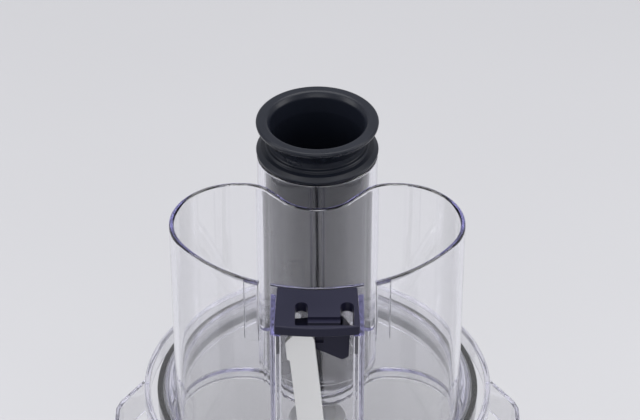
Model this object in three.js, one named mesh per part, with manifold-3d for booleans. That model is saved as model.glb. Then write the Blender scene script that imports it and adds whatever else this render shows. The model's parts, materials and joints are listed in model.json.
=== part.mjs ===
// A bench-top food processor with a wide kidney-shaped feed chute and a small round feed tube.
// Millimetres, +Z up. Every part is drawn about the bowl's own vertical axis, with the handle at
// the front (-Y), and the finished machine is then set back so that the origin is under the
// middle of its footprint, on the surface that its feet stand on.
import * as THREE from "three";
import { mergeVertices } from "three/addons/utils/BufferGeometryUtils.js";
import Module from "manifold-3d";

const wasm = await Module();
wasm.setup();

// ---------------------------------------------------------------- driving dimensions
const GAP = 0.3; // air between two pieces that touch
const WALL = 2.4; // clear mouldings
const RIM_Z = 272; // top of the cover's rim
const DECK_Z = 118; // top of the motor base
const FOOT_H = 10;

const BASE = { halfWidth: 102, front: -116, rear: 118, corner: 46, wall: 3.2 };
const HANDLE_FRONT = -156;
const INLET_DEPTH = 4; // how far the power inlet stands out of the rear wall

const COVER = { rim: 90.9, skirt: 88.5, deck: 76, rise: 4, plug: 78.6, depth: 13 };
const CHUTE = {
  top: RIM_Z + 123.5,
  bottom: RIM_Z - 2.1,
  front: 81, // radius of its front wall about the bowl's axis
  halfWidth: 72.8,
  back: 6.3, // how far its two lobes reach behind the bowl's axis
  notchFloor: -15.3,
  notchRadius: 21,
  shoulderRadius: 18,
};
const TUBE = { y: 24.5, outer: 30.6, inner: 27.6, top: RIM_Z + 129.8, bottom: RIM_Z - 2.1 };
const HOUSING = { halfWidth: 22.2, inner: 19.7, lip: 17, front: 111.4, top: RIM_Z + 118.2 };
const CAP = { halfWidth: 20.1, back: 81.5, front: 111.4, top: RIM_Z + 123.9, thick: 5.2 };
const STRIP = { width: 12.7, thick: 3, y: -103.5, topX: -8.1, bottomX: 4.2 };
const PUSHER = { body: 26.2, wall: 2.2, flange: 31, bottom: RIM_Z - 7 };
const BOWL = { top: RIM_Z - 2.7, rim: 84.2, wall: 3, floor: 126, foot: DECK_Z + 0.3, tube: 13.5, bore: 11 };
const SHAFT = { radius: 6.5, top: 214 };

const AXIS_Y = -(HANDLE_FRONT + BASE.rear + INLET_DEPTH) / 2; // bowl's axis behind the origin

// ---------------------------------------------------------------- materials
const finish = (color, roughness, metalness = 0, opacity = 1) =>
  new THREE.MeshStandardMaterial({ color, roughness, metalness, opacity, transparent: opacity < 1 });

const clear = finish(0xe4e6ec, 0.05, 0, 0.3);
const charcoal = finish(0x2e3038, 0.38);
const black = finish(0x1c1d24, 0.35);
const ivory = finish(0xd9dadb, 0.45);
const silicone = finish(0xc9ccd2, 0.6);
const enamel = finish(0xe2e2df, 0.3);
const rubber = finish(0x202124, 0.85);
const steel = finish(0xb9bcc0, 0.25, 1);
const copper = finish(0xa8623a, 0.45, 1);
const laminations = finish(0x6d7075, 0.5, 1);

// ---------------------------------------------------------------- shape helpers
function bare(geometry) {
  const g = geometry.index ? geometry.toNonIndexed() : geometry.clone();
  for (const name of Object.keys(g.attributes)) if (name !== "position") g.deleteAttribute(name);
  return mergeVertices(g, 1e-3);
}

function solid(geometry) {
  const g = bare(geometry);
  return new wasm.Manifold(
    new wasm.Mesh({
      numProp: 3,
      vertProperties: g.attributes.position.array,
      triVerts: new Uint32Array(g.index.array),
    }),
  );
}

function geometryOf(manifold) {
  const { vertProperties, triVerts } = manifold.getMesh();
  const g = new THREE.BufferGeometry();
  g.setAttribute("position", new THREE.BufferAttribute(vertProperties, 3));
  g.setIndex(new THREE.BufferAttribute(triVerts, 1));
  g.computeVertexNormals();
  return g;
}

const cut = (body, ...tools) =>
  geometryOf(tools.reduce((left, tool) => left.subtract(solid(tool)), solid(body)));
const join = (...bodies) => geometryOf(bodies.map(solid).reduce((a, b) => a.add(b)));

function box(x0, x1, y0, y1, z0, z1) {
  return new THREE.BoxGeometry(x1 - x0, y1 - y0, z1 - z0).translate(
    (x0 + x1) / 2, (y0 + y1) / 2, (z0 + z1) / 2,
  );
}

function rod(radius, z0, z1, x = 0, y = 0, sides = 24) {
  return new THREE.CylinderGeometry(radius, radius, z1 - z0, sides)
    .rotateX(Math.PI / 2)
    .translate(x, y, (z0 + z1) / 2);
}

// A closed outline of [radius, height] pairs turned about the vertical axis at (0, y).
function turned(profile, y = 0, sides = 48) {
  const closed = [...profile, profile[0]].map(([r, z]) => new THREE.Vector2(r, z));
  const make = (points) =>
    new THREE.LatheGeometry(points, sides).rotateX(Math.PI / 2).translate(0, y, 0);
  const g = make(closed);
  return solid(g).volume() > 0 ? g : make(closed.reverse());
}

function prism(shape, z0, z1, curveSegments = 12) {
  return new THREE.ExtrudeGeometry(shape, { depth: z1 - z0, bevelEnabled: false, curveSegments })
    .translate(0, 0, z0);
}

// A shape drawn in the Y-Z plane, extruded across X from x0 to x1.
function slab(shape, x0, x1, curveSegments = 8) {
  return new THREE.ExtrudeGeometry(shape, { depth: x1 - x0, bevelEnabled: false, curveSegments })
    .applyMatrix4(new THREE.Matrix4().set(0, 0, 1, x0, 1, 0, 0, 0, 0, 1, 0, 0, 0, 0, 0, 1));
}

function polygon(points) {
  return new THREE.Shape(points.map(([x, y]) => new THREE.Vector2(x, y)));
}

function roundedRectangle(x0, x1, y0, y1, r) {
  const s = new THREE.Shape();
  s.moveTo(x0 + r, y0);
  s.lineTo(x1 - r, y0);
  s.absarc(x1 - r, y0 + r, r, -Math.PI / 2, 0);
  s.lineTo(x1, y1 - r);
  s.absarc(x1 - r, y1 - r, r, 0, Math.PI / 2);
  s.lineTo(x0 + r, y1);
  s.absarc(x0 + r, y1 - r, r, Math.PI / 2, Math.PI);
  s.lineTo(x0, y0 + r);
  s.absarc(x0 + r, y0 + r, r, Math.PI, 1.5 * Math.PI);
  return s;
}

// The kidney outline of the feed chute, moved in by `inset` all round.
function kidney(inset) {
  const front = CHUTE.front - inset;
  const shoulder = CHUTE.shoulderRadius - inset;
  const notch = CHUTE.notchRadius + inset;
  // The lobe touches the side, the back and the front arc.
  const a = CHUTE.halfWidth, b = CHUTE.back, c = CHUTE.front;
  const h = a + b - c;
  const lobe = h + Math.sqrt(h * h - (a * a + b * b - c * c));
  const lobeX = a - lobe, lobeY = b - lobe;
  const lean = Math.atan2(lobeY, lobeX);
  const shoulderX = lobeX - 3.1, shoulderY = b - CHUTE.shoulderRadius;
  const notchY = CHUTE.notchFloor + CHUTE.notchRadius;
  // The straight between shoulder and notch touches both arcs from inside.
  const dx = shoulderX, dy = shoulderY - notchY;
  const across = Math.acos((CHUTE.shoulderRadius + CHUTE.notchRadius) / Math.hypot(dx, dy));
  const turn = Math.atan2(dy, dx) - across;
  const s = new THREE.Shape();
  s.absarc(0, 0, front, Math.PI - lean, 2 * Math.PI + lean, false);
  s.absarc(lobeX, lobeY, lobe - inset, lean, Math.PI / 2, false);
  s.absarc(shoulderX, shoulderY, shoulder, Math.PI / 2, turn + Math.PI, false);
  s.absarc(0, notchY, notch, turn, -Math.PI - turn, true);
  s.absarc(-shoulderX, shoulderY, shoulder, -turn, Math.PI / 2, false);
  s.absarc(-lobeX, lobeY, lobe - inset, Math.PI / 2, Math.PI - lean, false);
  return s;
}

// ---------------------------------------------------------------- cover and feed tubes
function coverDisc() {
  const z = (above) => RIM_Z + above;
  const { rim, skirt, deck, rise, plug, depth } = COVER;
  const disc = turned([
    [0, z(rise)], [deck, z(rise)], [80, z(0)], [rim - 1, z(0)], [rim, z(-1)], [rim, z(-depth)],
    [skirt, z(-depth)], [skirt, z(-WALL - 1)], [skirt - 1, z(-WALL)], [plug, z(-WALL)],
    [plug, z(-16)], [plug - 2, z(-16)], [plug - 2, z(-WALL)], [deck - 1, z(rise - WALL)],
    [0, z(rise - WALL)],
  ], 0, 48);
  const chuteHole = prism(kidney(-GAP), z(-WALL), z(20), 12);
  const tubeHole = rod(TUBE.outer + GAP, z(-WALL), z(20), 0, TUBE.y, 32);
  return [1, -1].reduce(
    (cover, side) => join(cover, lockingEar(side)),
    cut(disc, chuteHole, tubeHole),
  );
}

// A hollow lug, open underneath, that the fingers turn the cover by.
function lockingEar(side) {
  const outline = (inset) => polygon([
    [-80, 7 - inset], [-90.6, 5.6 - inset], [-103 + 0.9 * inset, -13 - 0.4 * inset],
    [-105 + inset, -19], [-105 + inset, -34], [-101 + 0.9 * inset, -43 + 0.3 * inset],
    [-80, -46 + inset],
  ]);
  const top = RIM_Z - 3, bottom = RIM_Z - 24;
  const block = prism(outline(0), bottom, top, 6);
  const hollow = cut(block, prism(outline(2), bottom - 1, top - 2, 6));
  const lug = cut(hollow, rod(COVER.skirt + 1, bottom - 1, RIM_Z, 0, 0, 64));
  return side < 0 ? lug : mirroredX(lug);
}

function mirroredX(geometry) {
  const g = geometry.toNonIndexed();
  const p = g.attributes.position;
  for (let i = 0; i < p.count; i += 3) {
    for (let k = 0; k < 3; k++) p.setX(i + k, -p.getX(i + k));
    const [x, y, z] = [p.getX(i + 1), p.getY(i + 1), p.getZ(i + 1)];
    p.setXYZ(i + 1, p.getX(i + 2), p.getY(i + 2), p.getZ(i + 2));
    p.setXYZ(i + 2, x, y, z);
  }
  return g;
}

function feedChute() {
  const wall = kidney(0);
  wall.holes.push(kidney(WALL));
  const slots = [-1, 1].map((side) => {
    const x = side * (HOUSING.halfWidth + 2.8);
    return box(x - 2.8, x + 2.8, -90, -60, RIM_Z + 95, CHUTE.top + 1);
  });
  return cut(prism(wall, CHUTE.bottom, CHUTE.top, 12), ...slots);
}

function feedTube() {
  const ring = turned([
    [TUBE.inner, TUBE.bottom], [TUBE.outer, TUBE.bottom],
    [TUBE.outer, TUBE.top], [TUBE.inner, TUBE.top],
  ], TUBE.y, 40);
  // Where the tube passes the chute's notch it is flattened, so that the two stay apart.
  return cut(ring, prism(kidney(-GAP), TUBE.bottom - 1, TUBE.top + 1, 12));
}

// The upright channel in front of the chute that the interlock strip runs in: two flanks with
// lips along an open front, and a back wall against the chute.
function interlockHousing() {
  const bottom = RIM_Z - COVER.depth;
  const outline = (halfWidth, front) => {
    const a = Math.asin(halfWidth / front);
    const s = new THREE.Shape();
    s.absarc(0, 0, front, -Math.PI / 2 - a, -Math.PI / 2 + a, false);
    s.lineTo(halfWidth, -60);
    s.lineTo(-halfWidth, -60);
    return s;
  };
  const block = prism(outline(HOUSING.halfWidth, HOUSING.front), bottom, HOUSING.top, 8);
  const bore = prism(outline(HOUSING.inner, HOUSING.front - 2.5), bottom - 1, HOUSING.top + 1, 8);
  const backWall = rod(CHUTE.front + 2.1, bottom - 2, HOUSING.top + 2, 0, 0, 96);
  const mouth = box(-HOUSING.lip, HOUSING.lip, -HOUSING.front - 5, -100, bottom - 1, HOUSING.top + 1);
  const chuteSide = rod(CHUTE.front + GAP, bottom - 1, HOUSING.top + 1, 0, 0, 96);
  const rimSide = rod(COVER.rim + GAP, bottom - 1, RIM_Z + GAP, 0, 0, 96);
  return cut(block, cut(bore, backWall), mouth, chuteSide, rimSide);
}

// ---------------------------------------------------------------- interlock
function capOutline() {
  const { halfWidth, back, front } = CAP;
  const rearHalf = halfWidth - 1;
  const a = Math.asin(halfWidth / front), b = Math.asin(rearHalf / back);
  const s = new THREE.Shape();
  s.absarc(0, 0, front, -Math.PI / 2 - a, -Math.PI / 2 + a, false);
  s.absarc(0, 0, back, -Math.PI / 2 + b, -Math.PI / 2 - b, true);
  return s;
}

// The U-shaped keyhole through the cap: two arms with round backs, joined along the front.
function keyhole(z0, z1) {
  const arm = (x0, x1) => {
    const r = (x1 - x0) / 2;
    const s = new THREE.Shape();
    s.moveTo(x0, -107);
    s.lineTo(x1, -107);
    s.absarc(x0 + r, -91.4 - r, r, 0, Math.PI, false);
    return prism(s, z0, z1, 4);
  };
  return join(arm(-10.4, -4.4), arm(10.9, 17.3), box(-10.4, 17.3, -109, -103.5, z0, z1));
}

function interlockCap() {
  const plate = prism(capOutline(), CAP.top - CAP.thick, CAP.top, 8);
  const legs = [-1, 1].map((side) => {
    const x = side * (CAP.halfWidth - 2);
    return box(x - 1.2, x + 1.2, -106, -92, CAP.top - 19, CAP.top - CAP.thick + 1);
  });
  return cut(join(plate, ...legs), keyhole(CAP.top - CAP.thick - 1, CAP.top + 1));
}

const LEVER = { pivotX: -10, pivotZ: RIM_Z + 109, y0: -99.6, y1: -90 };

// The rocker under the keyhole: it turns about a pin at its left end.
function interlockLever() {
  const { pivotX: x, pivotZ: z } = LEVER;
  const side = polygon([
    [x - 4, z - 4], [x + 6, z - 5], [x + 22, z - 13.5], [x + 25, z - 11.5],
    [x + 25.5, z + 1], [x + 22, z + 6], [x - 4, z + 4],
  ]);
  const body = new THREE.ExtrudeGeometry(side, { depth: LEVER.y1 - LEVER.y0, bevelEnabled: false })
    .rotateX(Math.PI / 2).translate(0, LEVER.y1, 0);
  const eye = rod(2.2 + GAP, LEVER.y0 - 1, LEVER.y1 + 1, 0, 0, 16)
    .rotateX(-Math.PI / 2).translate(x, 0, z);
  const window = box(x + 16, x + 22, -97, -93, z - 20, z + 20);
  return cut(body, eye, window);
}

function leverPin() {
  return rod(2.2, -101, -83, 0, 0, 16).rotateX(-Math.PI / 2).translate(LEVER.pivotX, 0, LEVER.pivotZ);
}

const STRIP_TOP = RIM_Z + 116.5;
const STRIP_BOTTOM = RIM_Z - 19.9;

// The white strip leans across its channel from the rocker down to the rod in the handle.
function interlockStrip() {
  const lean = (z) =>
    STRIP.bottomX + (STRIP.topX - STRIP.bottomX) * (z - STRIP_BOTTOM) / (STRIP_TOP - STRIP_BOTTOM);
  const w = STRIP.width / 2;
  const side = new THREE.Shape();
  side.moveTo(lean(STRIP_BOTTOM) - w, STRIP_BOTTOM);
  side.lineTo(lean(STRIP_BOTTOM) + w, STRIP_BOTTOM);
  side.lineTo(lean(STRIP_TOP - w) + w, STRIP_TOP - w);
  side.absarc(lean(STRIP_TOP - w), STRIP_TOP - w, w, 0, Math.PI, false);
  return new THREE.ExtrudeGeometry(side, {
    depth: STRIP.thick, bevelEnabled: false, curveSegments: 10,
  }).rotateX(Math.PI / 2).translate(0, STRIP.y + STRIP.thick / 2, 0);
}

// ---------------------------------------------------------------- pusher
function pusher() {
  const z = (above) => RIM_Z + above;
  const w = PUSHER.wall, r = PUSHER.body;
  return turned([
    [0, PUSHER.bottom], [r - 3, PUSHER.bottom], [r - 0.8, PUSHER.bottom + 2], [r, z(128)],
    [r, z(130.1)], [30.4, z(130.1)], [PUSHER.flange, z(130.9)], [PUSHER.flange, z(131.6)],
    [29, z(133.2)], [26.4, z(133.8)], [26, z(135.2)], [24.6, z(135.2)], [24.8, z(138)],
    [27.4, z(144.6)], [30, z(146.2)], [PUSHER.flange, z(147.6)], [30.8, z(148.4)],
    [29.5, z(149)], [26, z(149)], [24.4, z(148.2)], [23.5, z(146)], [22.6, z(138)],
    [r - w, z(126)], [r - w - 0.8, PUSHER.bottom + 3], [0, PUSHER.bottom + 3],
  ], TUBE.y, 32);
}

// ---------------------------------------------------------------- bowl and handle
function bowl() {
  const { top, rim, wall, floor, foot, tube, bore } = BOWL;
  const neck = DECK_Z + 4;
  return turned([
    [bore, neck], [bore, 190], [tube, 190], [tube + 0.6, floor + 8], [tube + 4, floor + 3],
    [70.4, floor + 3], [75.6, floor + 8], [77.2, floor + 18], [rim - wall, top], [rim, top],
    [rim, top - 10], [82.6, top - 14], [80.3, floor + 16], [78.2, floor + 6], [74.6, floor + 0.5],
    [74.6, foot], [72, foot], [72, floor], [tube + 3, floor], [tube, neck],
  ], 0, 48);
}

const COLUMN = { halfWidth: 19.5, front: -110, top: RIM_Z - 20.5, bottom: DECK_Z + 1.2 };
const ROD = { x: STRIP.bottomX, y: STRIP.y, halfX: 4, halfY: 2.6 };

function bowlHandle() {
  const { halfWidth, front, top, bottom } = COLUMN;
  const column = box(-halfWidth, halfWidth, front, -70, bottom, top);
  const loop = new THREE.Shape();
  loop.moveTo(front + 4, top);
  loop.lineTo(HANDLE_FRONT + 16, top - 3);
  loop.absarc(HANDLE_FRONT + 16, top - 19, 16, Math.PI / 2, Math.PI, false);
  loop.lineTo(HANDLE_FRONT + 7, bottom + 36);
  loop.absarc(HANDLE_FRONT + 21, bottom + 34, 14, Math.PI, 1.5 * Math.PI, false);
  loop.lineTo(front + 4, bottom + 14);
  const fingers = roundedRectangle(HANDLE_FRONT + 19, front - 1, bottom + 33, top - 18, 8);
  loop.holes.push(fingers);
  const grip = slab(loop, -14, 14, 6);
  const bowlSide = turned(
    [[0, bottom - 1], [78.4 + GAP, bottom - 1], [78.4 + GAP, 132], [80.5 + GAP, 142],
      [82.9 + GAP, top + 1], [0, top + 1]], 0, 96,
  );
  const rodWay = box(
    ROD.x - ROD.halfX - 0.5, ROD.x + ROD.halfX + 0.5,
    ROD.y - ROD.halfY - 0.5, ROD.y + ROD.halfY + 0.5, bottom - 1, top + 1,
  );
  const stripWay = box(
    ROD.x - 7.4, ROD.x + 7.4, ROD.y - 2.4, ROD.y + 2.4, top - 9, top + 1,
  );
  const springWay = rod(4.6, bottom - 1, bottom + 26, ROD.x, ROD.y, 20);
  return cut(join(column, grip), bowlSide, rodWay, stripWay, springWay);
}

const ROD_TOP = COLUMN.top + 0.3;
const ROD_BOTTOM = DECK_Z + 1;

function handleRod() {
  const { x, y, halfX, halfY } = ROD;
  return join(
    box(x - halfX, x + halfX, y - halfY, y + halfY, ROD_BOTTOM + 27, ROD_TOP),
    rod(2.2, ROD_BOTTOM, ROD_BOTTOM + 28, x, y, 16),
  );
}

// A coil spring as a swept round wire, closed at both ends.
function coil(radius, wire, z0, z1, turns, x, y) {
  const steps = turns * 10;
  const points = Array.from({ length: steps + 1 }, (_, i) => {
    const a = (i / steps) * turns * 2 * Math.PI;
    return new THREE.Vector3(
      x + radius * Math.cos(a), y + radius * Math.sin(a), z0 + wire + (z1 - z0 - 2 * wire) * (i / steps),
    );
  });
  const section = new THREE.Shape();
  section.absarc(0, 0, wire, 0, 2 * Math.PI, false);
  return new THREE.ExtrudeGeometry(section, {
    steps, curveSegments: 3, bevelEnabled: false, extrudePath: new THREE.CatmullRomCurve3(points),
  });
}

// ---------------------------------------------------------------- blade
function bladeHub() {
  return turned([
    [0, 216], [7.2, 216], [7.2, 192], [15, 192], [15, 135], [19, 135], [18.6, 150], [17.4, 196],
    [12.5, 214], [12.5, 224], [16.5, 243], [15, 249], [10, 251], [0, 251],
  ], 0, 32);
}

// One sickle blade: a curved steel sheet with its edge on the outside of the curve.
function sickle(z0, angle, hubRadius) {
  const s = new THREE.Shape();
  s.moveTo(-14, -hubRadius - 5);
  s.lineTo(6, -hubRadius - 6);
  s.quadraticCurveTo(42, -30, 72.5, 6);
  s.quadraticCurveTo(60, 22, 50, 16);
  s.quadraticCurveTo(40, 4, hubRadius + 5, 12);
  s.lineTo(-14, 12);
  const sheet = prism(s, z0, z0 + 1.6, 6);
  return cut(sheet, rod(hubRadius + GAP, z0 - 1, z0 + 3, 0, 0, 32)).rotateZ(angle);
}

// ---------------------------------------------------------------- motor base
const PLUNGER = { x: ROD.x, y: ROD.y, radius: 4, top: DECK_Z + 0.7, bottom: 84 };
const PANEL = { halfWidth: 54, top: 88, bottom: 40 };

function baseHousing() {
  const { halfWidth: w, front, rear, corner, wall } = BASE;
  const outer = (inset) => roundedRectangle(-w + inset, w - inset, front + inset, rear - inset, corner - inset);
  const shell = prism(outer(0), FOOT_H, DECK_Z - 5, 6);
  const deck = new THREE.ExtrudeGeometry(outer(5), {
    depth: 0.5, bevelEnabled: true, bevelSegments: 2, bevelSize: 5, bevelThickness: 5,
    bevelOffset: 0, curveSegments: 6,
  }).translate(0, 0, DECK_Z - 5.5);
  const boss = rod(71.4, DECK_Z - 1, DECK_Z + 3.4, 0, 0, 48);
  const neck = rod(16, DECK_Z, DECK_Z + 3.4, 0, 0, 32);
  const inside = prism(outer(wall), FOOT_H - 1, DECK_Z - 4.4, 6);
  const panelHole = box(-PANEL.halfWidth, PANEL.halfWidth, front - 10, front + 12, PANEL.bottom, PANEL.top);
  const shaftHole = rod(9, DECK_Z - 10, DECK_Z + 8, 0, 0, 24);
  const plungerHole = rod(PLUNGER.radius + GAP, DECK_Z - 10, DECK_Z + 8, PLUNGER.x, PLUNGER.y, 24);
  const inletHole = box(-13, 13, rear - 10, rear + 1, 24, 44);
  const hollow = cut(
    join(shell, deck, boss, neck), inside, panelHole, shaftHole, plungerHole, inletHole,
  );
  const screwPosts = SCREWS.map(([x, y]) => rod(6.2, FOOT_H + 4.4, 40, x, y, 16));
  const screwHoles = SCREWS.map(([x, y]) => rod(2.2, FOOT_H, 24, x, y, 12));
  return cut(join(hollow, ...screwPosts), ...screwHoles);
}

const SCREWS = [[-93, -60], [93, -60], [-93, 70], [93, 70]];

function bottomPlate() {
  const { halfWidth: w, front, rear, corner, wall } = BASE;
  const i = wall + GAP;
  const plate = prism(
    roundedRectangle(-w + i, w - i, front + i, rear - i, corner - i), FOOT_H + 1, FOOT_H + 4, 6,
  );
  return cut(plate, ...SCREWS.map(([x, y]) => rod(2.2, FOOT_H, FOOT_H + 5, x, y, 12)));
}

function foot(x, y) {
  return turned([
    [0, 0], [13, 0], [14, 2], [10.5, FOOT_H - 2], [10.5, FOOT_H + 0.7], [0, FOOT_H + 0.7],
  ], 0, 20).translate(x, y, 0);
}

function controlBezel() {
  const { halfWidth, top, bottom } = PANEL;
  const plate = box(
    -halfWidth + GAP, halfWidth - GAP, BASE.front - 1.6, BASE.front + 6, bottom + GAP, top - GAP,
  );
  const windows = [-1, 1].map((side) =>
    box(side * 27 - 20.5, side * 27 + 20.5, BASE.front - 4, BASE.front + 8, 46, 82));
  return cut(plate, ...windows);
}

// A rocking key on a pin along its top edge.
function paddle(side) {
  const face = new THREE.Shape();
  face.moveTo(BASE.front + 5, 81.4);
  face.lineTo(BASE.front - 1.6, 80);
  face.lineTo(BASE.front - 4.4, 47.6);
  face.lineTo(BASE.front - 1.6, 46.6);
  face.lineTo(BASE.front + 3, 47.6);
  const key = slab(face, side * 27 - 20, side * 27 + 20);
  const eye = rod(1.5 + GAP, -30, 30, 0, 0, 12).rotateY(Math.PI / 2).translate(side * 27, BASE.front + 2, 77.5);
  return cut(key, eye);
}

function paddlePin(side) {
  return rod(1.5, -20.3, 20.3, 0, 0, 12).rotateY(Math.PI / 2).translate(side * 27, BASE.front + 2, 77.5);
}

function microswitch(x, y, z) {
  return join(box(x - 10, x + 10, y - 3.2, y + 3.2, z - 6, z + 6), box(x - 2, x + 2, y - 4.4, y - 3, z - 2, z + 2));
}

function powerInlet() {
  const rear = BASE.rear;
  const body = box(-12.6, 12.6, rear - 16, rear + INLET_DEPTH, 24.4, 43.6);
  const well = box(-10, 10, rear - 10, rear + INLET_DEPTH + 1, 27, 41);
  return cut(body, well);
}

function motorStator() {
  return cut(rod(47, 26, 86, 0, 0, 32), rod(27, 25, 87, 0, 0, 32));
}

function motorRotor() {
  return cut(rod(26.2, 30, 82, 0, 0, 32), rod(SHAFT.radius + GAP, 29, 83, 0, 0, 20));
}

function winding(z0, z1) {
  return turned([[31, z0], [42, z0], [42, z1], [31, z1]], 0, 32);
}

function motorBracket(z0, z1) {
  const arms = [45, 135].map((deg) =>
    box(-62, 62, -9, 9, z0, z1).rotateZ(THREE.MathUtils.degToRad(deg)));
  return cut(join(rod(30, z0, z1, 0, 0, 32), ...arms), rod(13 + GAP, z0 - 1, z1 + 1, 0, 0, 24));
}

function motorPosts(z0, z1) {
  return [[1, 1], [1, -1], [-1, 1], [-1, -1]].map(([i, j]) => rod(4.5, z0, z1, i * 39, j * 39, 12));
}

function bearing(z0, z1) {
  return turned([[SHAFT.radius + GAP, z0], [13, z0], [13, z1], [SHAFT.radius + GAP, z1]], 0, 24);
}

function driveShaft() {
  const round = rod(SHAFT.radius, 18, SHAFT.top, 0, 0, 20);
  const flats = [-7.4, 7.4].map((x) => box(x - 2, x + 2, -9, 9, SHAFT.top - 24, SHAFT.top + 1));
  return cut(round, ...flats);
}

function coolingFan() {
  const hub = rod(14, 88, 92, 0, 0, 24);
  const vanes = Array.from({ length: 9 }, (_, i) =>
    box(10, 38, -0.9, 0.9, 88, 96).rotateZ((i / 9) * 2 * Math.PI));
  return cut(join(hub, ...vanes), rod(SHAFT.radius + GAP, 80, 99, 0, 0, 20));
}

function screw(x, y, z) {
  return join(rod(3.6, z, z + 1.8, 0, 0, 12), rod(1.8, z + 1, z + 12, 0, 0, 12)).translate(x, y, 0);
}

// ---------------------------------------------------------------- assembly
const machine = new THREE.Group();

function add(name, geometry, material) {
  const mesh = new THREE.Mesh(geometry, material);
  mesh.name = name;
  machine.add(mesh);
}

add("cover", coverDisc(), clear);
add("feed_chute", feedChute(), clear);
add("small_feed_tube", feedTube(), clear);
add("interlock_housing", interlockHousing(), clear);
add("interlock_cap", interlockCap(), black);
add("interlock_lever", interlockLever(), black);
add("lever_pin", leverPin(), steel);
add("interlock_strip", interlockStrip(), ivory);
add("pusher", pusher(), charcoal);
add("lid_seal", turned([
  [78.9, RIM_Z - 14], [80.5, RIM_Z - 14], [80.5, RIM_Z - 9], [78.9, RIM_Z - 9],
], 0, 48), silicone);

add("bowl", bowl(), clear);
add("bowl_handle", bowlHandle(), charcoal);
add("handle_rod", handleRod(), ivory);
add("handle_spring", coil(3.4, 0.6, ROD_BOTTOM + 5, ROD_BOTTOM + 25.6, 5, ROD.x, ROD.y), steel);

add("blade_hub", bladeHub(), ivory);
add("lower_blade", sickle(134, 0, 19), steel);
add("upper_blade", sickle(158, Math.PI, 18.7), steel);

add("drive_shaft", driveShaft(), steel);
add("motor_rotor", motorRotor(), laminations);
add("cooling_fan", coolingFan(), charcoal);

add("base_housing", baseHousing(), enamel);
add("bottom_plate", bottomPlate(), charcoal);
for (const [name, x, y] of [
  ["front_left", -66, -80], ["front_right", 66, -80], ["rear_left", -66, 82], ["rear_right", 66, 82],
]) {
  add(`foot_${name}`, foot(x, y), rubber);
}
add("control_bezel", controlBezel(), charcoal);
for (const [name, side] of [["on", -1], ["pulse", 1]]) {
  add(`${name}_paddle`, paddle(side), charcoal);
  add(`${name}_paddle_pin`, paddlePin(side), steel);
  add(`${name}_switch`, microswitch(side * 27, BASE.front + 10.2, 56), black);
}
add("interlock_plunger", rod(PLUNGER.radius, PLUNGER.bottom, PLUNGER.top, PLUNGER.x, PLUNGER.y, 20), ivory);
add("interlock_switch", microswitch(PLUNGER.x, PLUNGER.y, 68), black);
add("power_inlet", powerInlet(), black);
add("motor_stator", motorStator(), laminations);
add("upper_winding", winding(86.4, 87.4), copper);
add("upper_bracket", motorBracket(98, 102), steel);
add("upper_bearing", bearing(98, 105), steel);
add("lower_bracket", join(motorBracket(14.3, 18.3), ...motorPosts(17, 97.7)), steel);
add("lower_bearing", bearing(14.5, 23), steel);
add("run_capacitor", rod(16, 24, 74, -66, 52, 24), black);
for (const [i, [x, y]] of SCREWS.entries()) {
  add(`base_screw_${i + 1}`, screw(x, y, FOOT_H - 1.2), steel);
}

machine.position.y = AXIS_Y;

const foodProcessor = new THREE.Group();
foodProcessor.add(machine);
export default foodProcessor;
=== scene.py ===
"""Food processor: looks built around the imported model, with its lid fitted."""
import json
import math

import bmesh
import bpy
from mathutils import Matrix, Vector


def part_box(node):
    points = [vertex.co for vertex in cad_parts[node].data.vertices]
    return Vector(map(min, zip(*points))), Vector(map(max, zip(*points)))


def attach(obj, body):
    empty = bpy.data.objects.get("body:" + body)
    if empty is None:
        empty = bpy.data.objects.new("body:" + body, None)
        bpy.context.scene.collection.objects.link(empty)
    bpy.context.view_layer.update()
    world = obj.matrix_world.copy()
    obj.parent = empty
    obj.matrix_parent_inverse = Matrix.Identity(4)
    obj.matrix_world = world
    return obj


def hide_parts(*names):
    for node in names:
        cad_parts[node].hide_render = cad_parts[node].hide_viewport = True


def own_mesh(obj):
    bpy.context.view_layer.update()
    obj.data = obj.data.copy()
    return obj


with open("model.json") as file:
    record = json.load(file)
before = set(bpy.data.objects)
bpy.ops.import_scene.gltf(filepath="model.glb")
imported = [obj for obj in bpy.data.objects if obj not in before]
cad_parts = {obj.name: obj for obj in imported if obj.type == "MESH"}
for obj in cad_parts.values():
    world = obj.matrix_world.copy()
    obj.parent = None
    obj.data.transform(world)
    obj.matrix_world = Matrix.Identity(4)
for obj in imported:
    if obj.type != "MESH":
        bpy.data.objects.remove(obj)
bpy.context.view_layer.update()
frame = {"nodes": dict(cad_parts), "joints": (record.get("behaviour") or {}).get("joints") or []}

bl_info = {
    "name": "Food Processor",
    "version": (1, 0, 0),
    "blender": (4, 5, 0),
    "location": "View3D > Sidebar > Food Processor",
    "description": "Builds a bench-top food processor with a clear lid, chute, pusher and motor base",
    "category": "Add Mesh",
}

MM = 0.001

# The bowl's own axis, and the top of the lid's rim, that every piece is set out from.
_bowl_low, _bowl_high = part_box("bowl")
AXIS = Vector((0.0, (_bowl_low[1] + _bowl_high[1]) / 2, 0.0))
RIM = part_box("feed_chute")[1][2] / MM - 123.5
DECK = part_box("drive_shaft")[1][2] / MM - 96.0
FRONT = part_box("base_housing")[0][1] / MM - AXIS.y / MM
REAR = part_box("base_housing")[1][1] / MM - AXIS.y / MM


# ------------------------------------------------------------------ mesh helpers
def add_ring(bm, points, z):
    """A closed loop of edges through (x, y) points in millimetres about the bowl's axis."""
    verts = [bm.verts.new((x * MM, y * MM + AXIS.y, z * MM)) for x, y in points]
    return [bm.edges.new((a, b)) for a, b in zip(verts, verts[1:] + verts[:1])]


def loft(bm, rings, closed=True):
    """Skins a stack of loops; a closed stack joins its last loop to its first."""
    pairs = list(zip(rings, rings[1:]))
    if closed:
        pairs.append((rings[-1], rings[0]))
    for a, b in pairs:
        bmesh.ops.bridge_loops(bm, edges=a + b)


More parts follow.
